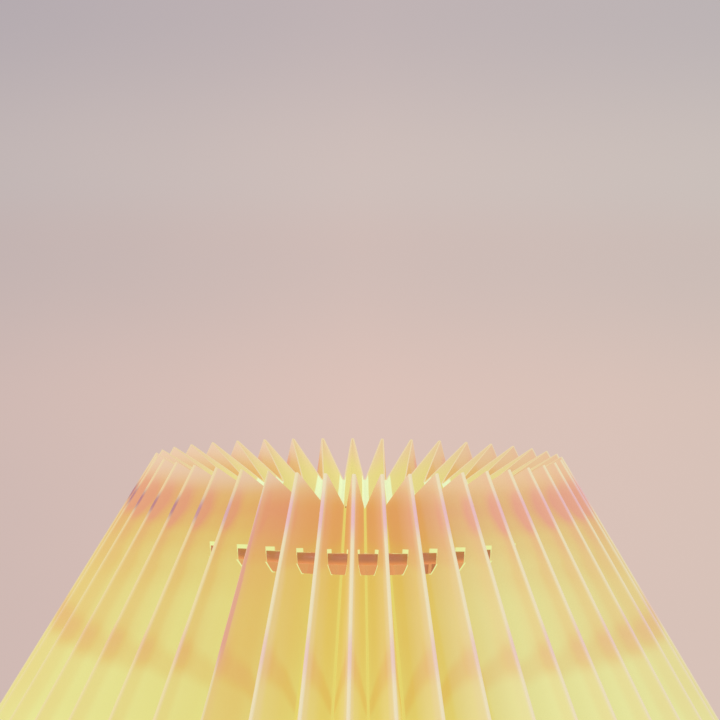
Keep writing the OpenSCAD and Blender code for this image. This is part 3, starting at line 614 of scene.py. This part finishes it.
def glaze_finish():
    """Glaze with a soft depth of colour, throwing lines, specks and a bare foot ring."""
    finishes = bpy.context.scene.lamp_finishes
    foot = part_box("ceramic_body")[0].z
    glaze = Finish("body_glaze")
    step, times, noise, stretched = glaze.step, glaze.times, glaze.noise, glaze.stretched
    height = glaze.axes(glaze.places())[2]
    pool = noise(14, 5, 0.6, stretched(1, 1, 0.45))
    thick = times(pool, 0.8)
    for mask, gain in ((step(height, foot + 70*MM, foot + 10*MM), 0.4),
                       (glaze.peak(height, foot + 17.5*MM, 1.5*MM, 6*MM), 0.5)):
        thick = glaze.plus(thick, times(mask, gain))
    streaks = step(noise(1, 4, 0.65, stretched(160, 160, 16)), 0.45, 0.75)
    edge = glaze.plus(height, times(noise(60, 3), 2*MM))
    thin = step(edge, foot + 6.5*MM, foot + 3.6*MM)
    bare = step(edge, foot + 3.4*MM, foot + 2.6*MM)
    net = glaze.warped(45, 8*MM)
    crackle = glaze.most(times(glaze.cracks(88, net, 0.026), 0.24),
                         times(glaze.cracks(230, net, 0.04), 0.12))
    specks = step(noise(420, 2, 0.5), 0.70, 0.76)
    iron = step(noise(260, 3, 0.6, stretched(1, 1, 1.3)), 0.735, 0.76)
    colour = glaze.coats(
        finishes.glaze, (step(thick, 0.25, 0.95), finishes.glaze_deep),
        (times(streaks, 0.35), finishes.glaze_deep), (times(thin, 0.7), finishes.glaze_thin),
        (crackle, finishes.crackle), (times(specks, 0.45), finishes.clay),
        (times(iron, 0.6), finishes.rubber), (bare, finishes.clay))
    glaze.soften_edges(0.8*MM)
    glaze.bump(noise(1, 2, 0.5, stretched(3, 3, 190)), 0.25*MM, 0.6)
    glaze.bump(noise(240, 2, 0.4), 0.05*MM, 0.5)
    rough = glaze.plus(times(bare, 0.6), glaze.plus(0.10, times(pool, 0.12)))
    return glaze.set(base_color=colour, roughness=rough, coat_weight=0.5, coat_roughness=0.05)


def kraft_finish():
    """Pressed board with long fibres."""
    kraft = bpy.context.scene.lamp_finishes.kraft
    board = Finish("cover_board")
    fibres = board.noise(1, 4, 0.6, board.stretched(900, 160, 900))
    board.bump(fibres, 0.06*MM)
    return board.set(base_color=board.mix(fibres, dimmed(kraft, 0.66), kraft), roughness=0.85)


def felt_finish():
    """Felt: matted fibres with a soft sheen."""
    wool = bpy.context.scene.lamp_finishes.felt
    felt = Finish("felt")
    mat = felt.noise(1500, 5, 0.75)
    tuft = felt.noise(260, 3, 0.6)
    lint = felt.times(felt.step(felt.noise(620, 3, 0.6), 0.60, 0.72), 0.35)
    colour = felt.coats(dimmed(wool, 0.55),
                        (felt.step(felt.times(mat, tuft), 0.12, 0.36), wool),
                        (lint, dimmed(wool, 1.8)))
    felt.bump(tuft, 0.3*MM)
    felt.bump(mat, 0.25*MM)
    return felt.set(base_color=colour, roughness=0.95, sheen_weight=0.12, sheen_roughness=0.6)


def board_finish():
    """White lacquer with yellow diodes on it."""
    finishes = bpy.context.scene.lamp_finishes
    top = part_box("diode_board")[1].z
    board = Finish("diode_board")
    diode = board.step(board.axes(board.places())[2], top - 0.7*MM, top - 0.5*MM)
    grain = board.noise(300, 3)
    board.bump(grain, 0.02*MM)
    colour = board.coats(finishes.board*0.92, (grain, finishes.board), (diode, finishes.diode))
    return board.set(base_color=colour, roughness=0.45)


def table_finish(radius):
    """Plain pale table top that fades out towards its edge. It is open under the felt, and from
    below it lets the lamp's underside be seen."""
    pale = bpy.context.scene.lamp_stage.floor
    top = Finish("table_top")
    away = top.from_axis()[3]
    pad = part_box("felt_pad")[1].x
    cover = top.times(top.step(away, radius*0.98, radius*0.6),
                      top.step(away, pad - 2*MM, pad - 1*MM))
    below = top.times(top.add("NewGeometry").outputs["Backfacing"],
                      top.add("LightPath").outputs["Is Camera Ray"])
    return top.set(base_color=top.mix(top.noise(60, 3), dimmed(pale, 0.97), pale),
                   roughness=0.8, alpha=top.times(cover, top.rest(below)))


def room_light(context):
    """Even light all round. Where the camera or a reflection looks it shows the wall, painted
    darker towards the top and on its left and lighter low down behind the shade.
    """
    stage = context.scene.lamp_stage
    world = context.scene.world = bpy.data.worlds.new("room")
    world.use_nodes = True
    world.node_tree.nodes.clear()
    room = Tree(world.node_tree)
    towards = room.add("TexCoord").outputs["Generated"]
    x, _, z = room.axes(towards)
    heights = ((0.28, stage.wall_low), (0.55, stage.wall_mid), (0.66, stage.wall_high),
               (0.95, stage.wall_top))
    wall = room.ramp(room.step(z, -0.15, 0.15, "LINEAR"),
                     [(place, linear(colour)) for place, colour in heights], "EASE")
    patches = room.times(room.noise(14, 3, 0.5, towards), 0.045)
    # Painted shade on the wall's left side, and a faint tint on its right.
    sides = room.ramp(room.step(x, -0.18, 0.18, "LINEAR"),
                      ((0.0, (0.87, 0.90, 0.94, 1.0)), (0.5, (1.0, 1.0, 1.0, 1.0)),
                       (1.0, (0.95, 1.0, 1.0, 1.0))))
    colour = room.mix(1.0, room.mix(patches, wall, WALL_PATCH), sides, "MULTIPLY")
    seen = room.add("Background", {"Color": colour})
    even = room.add("Background", {"Color": (1, 1, 1, 1), "Strength": stage.light})
    rays = room.add("LightPath").outputs
    clear = room.most(room.most(rays["Is Camera Ray"], rays["Is Glossy Ray"]),
                      rays["Is Transmission Ray"])
    choice = room.add("MixShader", {0: clear, 1: even.outputs[0], 2: seen.outputs[0]})
    room.add("OutputWorld", {"Surface": choice.outputs[0]})


def coat(material, *nodes):
    """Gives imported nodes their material."""
    for node in nodes:
        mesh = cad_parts[node].data
        mesh.materials.clear()
        mesh.materials.append(material)


@contextmanager
def editing(select=None):
    """Edit mode for the active piece, at first with all or nothing of it selected if asked."""
    bpy.ops.object.mode_set(mode="EDIT")
    if select:
        bpy.ops.mesh.select_all(action=select)
    yield
    bpy.ops.object.mode_set(mode="OBJECT")


def pick(kind, elements, chosen):
    """Selects the chosen ones of the active piece's vertices or faces, and nothing else."""
    with editing("DESELECT"):
        bpy.ops.mesh.select_mode(type=kind)
    for element in elements:
        element.select = chosen(element)


def new_piece(name, primitive, **sizes):
    """A primitive, the only thing selected, with its name."""
    bpy.ops.object.select_all(action="DESELECT")
    primitive(**sizes)
    piece = bpy.context.object
    piece.name = piece.data.name = name
    return piece


class PleatedStrip:
    """The shade's strip: where its folds run, and where each of its points lies once folded."""

    ARC_STEPS = 4
    BOW_STEPS = 2
    LOWER_ROWS = 8
    FACE_COLUMNS = 2*ARC_STEPS + BOW_STEPS + 3

    def __init__(self, settings, arm_turns):
        self.s = settings
        self.arm_turns = arm_turns
        self.rim_z = NOTCH_TOP_Z + settings.notch_drop
        self.faces = 2*settings.pleats + 1
        self.notch_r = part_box("carrier_ring")[1].x + settings.notch_side
        self.lines = [self.fold_line(i) for i in range(self.faces + 1)]
        foot_z = NOTCH_TOP_Z - settings.notch_h
        heights = (None, NOTCH_TOP_Z, foot_z + settings.notch_corner, foot_z, None)
        self.folds, self.arcs = zip(*(self.section(k, z) for k, z in enumerate(heights)))

    def fold_angle(self, u):
        """Turn of fold u from the front. Even folds are outer ones."""
        even = self.s.turn + u*math.pi/self.s.pleats
        return (even - self.s.gather*math.sin(even - self.s.gather_turn)
                - self.s.end_gather*math.sin(2*even)/2)

    def pleat_depth(self, r, half):
        """Depth of a pleat square to the outer folds, at which its faces keep their width."""
        depth = self.s.face_w
        for _ in range(5):
            inner_r = r - depth*math.cos(self.s.slope)
            depth = math.sqrt(self.s.face_w**2 - (inner_r*math.sin(half))**2)
        return depth

    def fold_line(self, i):
        """Top and foot of the strip's fold number i, at the middle of the sheet."""
        u = self.s.seam_face + i
        lift = -self.s.seam_depth if i >= 2*self.s.pleats else 0.0
        half = (self.fold_angle(u + 1) - self.fold_angle(u - 1))/2
        slope = self.s.slope
        ends = []
        for drop in (0.0, self.s.drop):
            r = self.s.rim_d/2 + drop*math.tan(slope)
            depth = self.pleat_depth(r, half)
            inner_r = r - depth*math.cos(slope)
            other_r, inward = (inner_r, 0.0) if self.is_outer(i) else (r, depth)
            inward -= lift*self.s.sheet_t*self.s.face_w/(other_r*math.sin(half))
            away = r - inward*math.cos(slope)
            turn = self.fold_angle(u)
            ends.append(Vector((away*math.sin(turn), -away*math.cos(turn),
                                self.rim_z - drop - inward*math.sin(slope))))
        return ends

    def is_outer(self, i):
        return (self.s.seam_face + i) % 2 == 0

    def section(self, k, z):
        """One cut through the folded strip, at its top, at a height z or at its foot: the point
        where the faces meet at each fold, and the arc that rounds it."""
        ends = [line[0] if k == 0 else line[1] if z is None else
                line[0].lerp(line[1], (line[0].z - z)/(line[0].z - line[1].z))
                for line in self.lines]
        radius = self.s.fold_r
        last = len(ends) - 1

        def bend(points, i):
            one = (points[i - 1] - points[i]).normalized()
            two = (points[i + 1] - points[i]).normalized()
            middle = (one + two).normalized()
            return one, two, middle, one.angle(two)/2

        moved = list(ends)
        for i in range(1, last):
            _, _, middle, half = bend(ends, i)
            moved[i] = ends[i] - middle*radius*(1/math.sin(half) - 1)
        steps = range(-self.ARC_STEPS, self.ARC_STEPS + 1)
        arcs = [[point for _ in steps] for point in moved]
        for i in range(1, last):
            one, two, middle, half = bend(moved, i)
            centre = moved[i] + middle*radius/math.sin(half)
            sideways = (two - one).normalized()
            turns = [(math.pi/2 - half)*(n/self.ARC_STEPS) for n in steps]
            arcs[i] = [centre - middle*radius*math.cos(t) + sideways*radius*math.sin(t)
                       for t in turns]
        return moved, arcs

    def flat_points(self, k, i):
        """Points of face i between its rounded folds: two on its bow, then the side and the
        foot corner of its notch, counted from the outer fold."""
        outer, inner = (i, i + 1) if self.is_outer(i) else (i + 1, i)
        cut = self.folds[min(max(k, 1), 3)]
        near, far = (Vector(cut[fold][:2]).length for fold in (inner, outer))
        side, corner = ((r - near)/(far - near)
                        for r in (self.notch_r, self.notch_r - self.s.notch_corner))
        bows = [1 - (1 - side)*(n + 1)/(self.BOW_STEPS + 1) for n in range(self.BOW_STEPS)]
        one, two = self.folds[k][inner], self.folds[k][outer]
        spots = [one.lerp(two, part) for part in bows + [side, corner]]
        return spots if self.is_outer(i) else spots[::-1]

    def cut_row(self, k):
        """All points of cut k, from one end of the strip to the other."""
        arcs = self.arcs[k]
        fold = self.ARC_STEPS + 1
        row = [arcs[0][0]]
        for i in range(self.faces):
            row += arcs[i][fold:] + self.flat_points(k, i) + arcs[i + 1][:fold]
        return row

    def notch_column(self, i, corner):
        """Column of the side or the foot corner of the notch on face i."""
        from_outer = self.ARC_STEPS + self.BOW_STEPS + (2 if corner else 1)
        if self.is_outer(i):
            return i*self.FACE_COLUMNS + from_outer
        return (i + 1)*self.FACE_COLUMNS - from_outer

    def rows(self):
        """All rows of the folded strip from the rim to the foot."""
        cuts = [self.cut_row(k) for k in range(5)]
        for i in range(self.faces):
            side, corner = self.notch_column(i, False), self.notch_column(i, True)
            cuts[2][corner] = (cuts[2][side] + cuts[3][corner])/2
        self.tilt_notches(cuts)
        half_way = [a.lerp(b, 0.5) for a, b in zip(cuts[0], cuts[1])]
        below = [[a.lerp(b, (n + 1)/self.LOWER_ROWS) for a, b in zip(cuts[3], cuts[4])]
                 for n in range(self.LOWER_ROWS)]
        return [cuts[0], half_way, cuts[1], cuts[2], cuts[3]] + below

    def tilt_notches(self, cuts):
        """Lets the cuts of the notches fall towards the inner folds. Each point slides along its
        own line of the sheet and turns about the inner side of the ring's wire. Folds next to
        an arm keep their upper cut, which leaves the arm its room."""
        pivot = self.notch_r - self.s.notch_side - WIRE_D
        fall = math.tan(self.s.notch_tilt)
        arms = [Vector((math.sin(t), -math.cos(t))) for t in self.arm_turns]
        for column, (top, foot) in enumerate(zip(list(cuts[1]), list(cuts[3]))):
            flat = Vector(top[:2])
            radius = flat.length
            if radius > self.notch_r + 0.1*MM:
                continue
            part = (pivot - radius)*fall/(top.z - foot.z)
            beside = any(arm.dot(flat) > 0 and abs(arm.cross(flat)) < ARM_ROOM for arm in arms)
            if not (beside and radius < pivot):
                cuts[1][column] = top.lerp(foot, part)
            cuts[2][column] = cuts[2][column] + (foot - top)*part
            cuts[3][column] = foot.lerp(top, -part)

    def in_notch(self, column, row):
        """True for a cell of the flat strip that the punch takes out. Rows 2 and 3 hold it."""
        if row not in (2, 3):
            return False
        i = min(column//self.FACE_COLUMNS, self.faces - 1)
        limit = self.notch_column(i, row == 3)
        return column >= limit if self.is_outer(i) else column < limit


def apply_modifiers(piece):
    bpy.context.view_layer.objects.active = piece
    for modifier in list(piece.modifiers):
        bpy.ops.object.modifier_apply(modifier=modifier.name)


def smooth(piece, degrees):
    """Shades a piece smooth, with edges sharper than the angle kept."""
    bpy.ops.object.select_all(action="DESELECT")
    piece.select_set(True)
    bpy.context.view_layer.objects.active = piece
    bpy.ops.object.shade_smooth_by_angle(angle=math.radians(degrees))


def flat_places(strip, rows):
    """Where the strip's columns and rows lie on the flat sheet: along it, with every face at its
    full width, and down each column."""
    top = rows[0]
    spans = [0.0]
    for one, two in zip(top, top[1:]):
        spans.append(spans[-1] + (two - one).length)
    per_face = strip.FACE_COLUMNS
    along = []
    for column, span in enumerate(spans):
        face = min(column//per_face, strip.faces - 1)
        start, end = spans[face*per_face], spans[(face + 1)*per_face]
        along.append((face + (span - start)/(end - start))*strip.s.face_w)
    down = [[0.0]*len(top)]
    for above, row in zip(rows, rows[1:]):
        down.append([d + (b - a).length for d, a, b in zip(down[-1], above, row)])
    return along, down


def pleated_sheet(settings):
    """The strip as it is made: cut flat, folded, and notched."""
    strip = PleatedStrip(settings, bpy.context.scene.lamp_carrier.turns())
    rows = strip.rows()
    columns = strip.faces*strip.FACE_COLUMNS
    sheet = new_piece("pleated_shade", bpy.ops.mesh.primitive_grid_add, x_subdivisions=columns,
                      y_subdivisions=len(rows) - 1, size=1)
    mesh = sheet.data
    cells = [(round((v.co.x + 0.5)*columns), round((0.5 - v.co.y)*(len(rows) - 1)))
             for v in mesh.vertices]

    def punched(face):
        column, row = map(min, zip(*(cells[v] for v in face.vertices)))
        return strip.in_notch(column, row)
    pick("FACE", mesh.polygons, punched)
    for vertex, (column, row) in zip(mesh.vertices, cells):
        vertex.co = rows[row][column]
    along, down = flat_places(strip, rows)
    layer = mesh.uv_layers.active or mesh.uv_layers.new()
    layer.name = FLAT_MAP
    for loop in mesh.loops:
        column, row = cells[loop.vertex_index]
        layer.data[loop.index].uv = (along[column], down[row][column])
    with editing():
        bpy.ops.mesh.delete(type="FACE")
    return sheet


class LAMP_OT_shade(bpy.types.Operator):
    """Cut, fold and glue the shade's sheet"""
    bl_idname = "lamp.shade"
    bl_label = "Pleated shade"

    def execute(self, context):
        settings = context.scene.lamp_shade
        sheet = pleated_sheet(settings)
        for finish in (sheet_outside_finish, sheet_inside_finish, sheet_edge_finish):
            sheet.data.materials.append(finish())
        outward = sum(p.normal.dot(Vector((p.center.x, p.center.y, 0)))*p.area
                      for p in sheet.data.polygons)
        if outward < 0:
            with editing("SELECT"):
                bpy.ops.mesh.flip_normals()
        thick = sheet.modifiers.new("Sheet", "SOLIDIFY")
        thick.thickness = settings.sheet_t
        thick.offset = 0
        thick.material_offset = 1
        thick.material_offset_rim = 2
        apply_modifiers(sheet)
        smooth(sheet, 35)
        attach(sheet, "shade")
        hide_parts("shade_sheet")
        return {"FINISHED"}


def weld_bead(name, half, spread):
    """A bead of weld: a ball pinched at its top and spread on each axis."""
    bead = new_piece(name, bpy.ops.mesh.primitive_uv_sphere_add, segments=24, ring_count=12,
                     radius=half)
    shoulder = 0.35*half
    pick("VERT", bead.data.vertices, lambda vertex: vertex.co.z > shoulder)
    with editing():
        bpy.ops.transform.resize(value=(0.86, 0.86, 0.92), center_override=(0, 0, shoulder))
        bpy.ops.mesh.select_all(action="SELECT")
        bpy.ops.transform.resize(value=spread, center_override=(0, 0, 0))
    smooth(bead, 60)
    return bead


def twin(piece):
    """A copy of a piece with a mesh of its own."""
    copy = piece.copy()
    copy.data = piece.data.copy()
    bpy.context.collection.objects.link(copy)
    return copy


class LAMP_OT_carrier(bpy.types.Operator):
    """Weld and paint the ring, the arms and the hub that carry the shade"""
    bl_idname = "lamp.carrier"
    bl_label = "Wire carrier"

    def execute(self, context):
        settings = context.scene.lamp_carrier
        finish = wire_finish()
        coat(finish, "carrier_ring", "carrier_arms", "carrier_hub")
        ring_low, ring_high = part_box("carrier_ring")
        on_ring = (ring_high.x - WELD_IN, 0, ring_low.z + WELD_UP)
        on_hub = (settings.foot_r, 0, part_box("carrier_hub")[1].z)
        kinds = (("ring_weld", (1, 1.2, 0.8), on_ring), ("foot_weld", (1, 1.1, 0.6), on_hub))
        for name, spread, place in kinds:
            first = weld_bead(name, settings.weld, spread)
            first.data.materials.append(finish)
            first.data.transform(Matrix.Translation(place))
            beads = [first] + [twin(first) for _ in range(settings.arms - 1)]
            for i, (bead, turn) in enumerate(zip(beads, settings.turns())):
                bead.name = bead.data.name = f"{name}_{i + 1}"
                bead.data.transform(Matrix.Rotation(turn - math.pi/2, 4, "Z"))
                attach(bead, "shade")
        return {"FINISHED"}


def skirt_thread(settings, low, high):
    """The thread on the skirt between two heights: one flank section swept up a screw line, with
    its ends run out into the skirt."""
    thread = new_piece("skirt_thread", bpy.ops.mesh.primitive_plane_add, size=1)
    sunk = 0.3*MM
    root = settings.skirt_d/2 - sunk
    foot = settings.skirt_pitch*0.36
    for vertex in thread.data.vertices:
        crest = vertex.co.x > 0
        half = foot/3 if crest else foot
        vertex.co = (root + (sunk + settings.ridge if crest else 0), 0,
                     math.copysign(half, vertex.co.y))
    with editing("SELECT"):
        bpy.ops.mesh.delete(type="ONLY_FACE")
    turns = int((high - low - 2*foot)/settings.skirt_pitch)
    sweep = thread.modifiers.new("Screw line", "SCREW")
    sweep.axis = "Z"
    sweep.angle = 2*math.pi
    sweep.screw_offset = settings.skirt_pitch
    sweep.iterations = turns
    sweep.steps = sweep.render_steps = SCREW_STEPS
    sweep.use_merge_vertices = False
    apply_modifiers(thread)
    with editing("SELECT"):
        bpy.ops.mesh.fill_holes(sides=4)
        bpy.ops.mesh.normals_make_consistent(inside=False)
    for vertex in thread.data.vertices:
        away = Vector(vertex.co[:2]).length
        turn = math.atan2(vertex.co.y, vertex.co.x)/(2*math.pi) % 1.0
        count = turn + round(vertex.co.z/settings.skirt_pitch - turn)
        run_out = min(1.0, max(0.0, min(count, turns - count))/RUN_OUT)
        if away > root + 0.1*MM:
            shrink = (root + (away - root)*run_out)/away
            vertex.co.x *= shrink
            vertex.co.y *= shrink
        vertex.co.z += low + foot
    smooth(thread, 30)
    return thread


class LAMP_OT_holder(bpy.types.Operator):
    """Cut the lamp holder's thread and finish its shells, contacts and insert"""
    bl_idname = "lamp.holder"
    bl_label = "Lamp holder"

    def execute(self, context):
        finishes = context.scene.lamp_finishes
        shell = moulded_finish("holder_plastic", finishes.shell)
        coat(shell, "holder_cap", "holder_skirt", "retaining_ring")
        thread = skirt_thread(context.scene.lamp_holder,
                              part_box("retaining_ring")[1].z + 0.2*MM,
                              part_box("holder_skirt")[1].z - 0.3*MM)
        thread.data.materials.append(shell)
        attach(thread, "base")
        coat(moulded_finish("porcelain", finishes.porcelain, 0.2), "holder_insert")
        coat(turned_metal_finish("contact_brass", finishes.brass, 0.3),
             "screw_sleeve", "centre_contact", "side_contact")
        coat(turned_metal_finish("screw_steel", finishes.zinc, 0.3), "terminal_screws")
        return {"FINISHED"}


class LAMP_OT_bulb(bpy.types.Operator):
    """Finish the bulb"""
    bl_idname = "lamp.bulb"
    bl_label = "Bulb"

    def execute(self, context):
        finishes = context.scene.lamp_finishes
        coat(globe_finish(), "bulb_globe")
        coat(moulded_finish("bulb_housing", finishes.housing, 0.4), "bulb_housing")
        coat(board_finish(), "diode_board")
        low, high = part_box("bulb_cap")
        thread = (low.z + 2*MM, high.z - 3*MM, high.x, context.scene.lamp_holder.lamp_pitch)
        coat(turned_metal_finish("bulb_metal", finishes.zinc, 0.28, thread), "bulb_cap")
        coat(turned_metal_finish("bulb_tip_metal", finishes.zinc, 0.35), "bulb_tip")
        coat(moulded_finish("bulb_insulator", finishes.rubber, 0.15), "bulb_insulator")
        return {"FINISHED"}


class LAMP_OT_body(bpy.types.Operator):
    """Glaze the ceramic body and finish its neck"""
    bl_idname = "lamp.body"
    bl_label = "Ceramic body"

    def execute(self, context):
        finishes = context.scene.lamp_finishes
        coat(glaze_finish(), "ceramic_body")
        coat(turned_metal_finish("neck_brass", finishes.brass, 0.24), "neck_cap", "neck_collar")
        coat(turned_metal_finish("zinc_steel", finishes.zinc, 0.35),
             "stem_tube", "foot_washer", "foot_nut")
        return {"FINISHED"}


class LAMP_OT_foot(bpy.types.Operator):
    """Finish the bushing, the cover board and the felt under the foot"""
    bl_idname = "lamp.foot"
    bl_label = "Foot"

    def execute(self, context):
        rubber = context.scene.lamp_finishes.rubber
        coat(moulded_finish("bushing_plastic", rubber, 0.5, 0.03), "cord_bushing")
        coat(kraft_finish(), "bottom_cover")
        coat(felt_finish(), "felt_pad")
        return {"FINISHED"}


class LAMP_OT_stage(bpy.types.Operator):
    """Set the table top, the room's light and the camera"""
    bl_idname = "lamp.stage"
    bl_label = "Stage and camera"

    def execute(self, context):
        stage = context.scene.lamp_stage
        floor = new_piece("table_top", bpy.ops.mesh.primitive_circle_add, vertices=96,
                          radius=TABLE_R, fill_type="NGON")
        floor.data.materials.append(table_finish(TABLE_R))
        room_light(context)

        light = bpy.data.lights.new("soft_light", "AREA")
        light.shape = "DISK"
        light.size = LIGHT_D
        light.energy = LIGHT_WATTS
        lamp = bpy.data.objects.new("soft_light", light)
        context.scene.collection.objects.link(lamp)
        lamp.location = LIGHT_AT
        towards = LIT_POINT - lamp.location
        lamp.rotation_euler = towards.to_track_quat("-Z", "Y").to_euler()

        data = bpy.data.cameras.new("camera")
        data.lens = stage.lens
        data.sensor_width = 36
        data.clip_start = 0.01
        camera = bpy.data.objects.new("camera", data)
        context.scene.collection.objects.link(camera)
        rim_z = NOTCH_TOP_Z + context.scene.lamp_shade.notch_drop
        camera.location = (0, -stage.far, rim_z + stage.rise)
        tilt = Matrix.Rotation(math.pi/2 - stage.pitch, 4, "X")
        camera.rotation_euler = (tilt @ Matrix.Rotation(stage.roll, 4, "Z")).to_euler()
        context.scene.camera = camera
        context.scene.view_settings.view_transform = "Standard"
        return {"FINISHED"}


OPERATORS = (LAMP_OT_shade, LAMP_OT_carrier, LAMP_OT_holder, LAMP_OT_bulb, LAMP_OT_body,
             LAMP_OT_foot, LAMP_OT_stage)


class LAMP_PT_panel(bpy.types.Panel):
    """Buttons that dress the lamp"""
    bl_idname = "LAMP_PT_panel"
    bl_label = "Pleated table lamp"
    bl_space_type = "VIEW_3D"
    bl_region_type = "UI"
    bl_category = "Lamp"

    def draw(self, context):
        for operator in OPERATORS:
            self.layout.operator(operator.bl_idname)


SETTINGS = {"lamp_shade": ShadeSettings, "lamp_carrier": CarrierSettings,
            "lamp_holder": HolderSettings, "lamp_glow": GlowSettings,
            "lamp_finishes": FinishSettings, "lamp_stage": StageSettings}
CLASSES = (*SETTINGS.values(), *OPERATORS, LAMP_PT_panel)


def register():
    for kind in CLASSES:
        bpy.utils.register_class(kind)
    for name, group in SETTINGS.items():
        setattr(bpy.types.Scene, name, PointerProperty(type=group))


def unregister():
    for name in SETTINGS:
        delattr(bpy.types.Scene, name)
    for kind in reversed(CLASSES):
        bpy.utils.unregister_class(kind)


def main():
    register()
    bpy.ops.lamp.shade()
    bpy.ops.lamp.carrier()
    bpy.ops.lamp.holder()
    bpy.ops.lamp.bulb()
    bpy.ops.lamp.body()
    bpy.ops.lamp.foot()
    bpy.ops.lamp.stage()


if __name__ == "__main__":
    main()
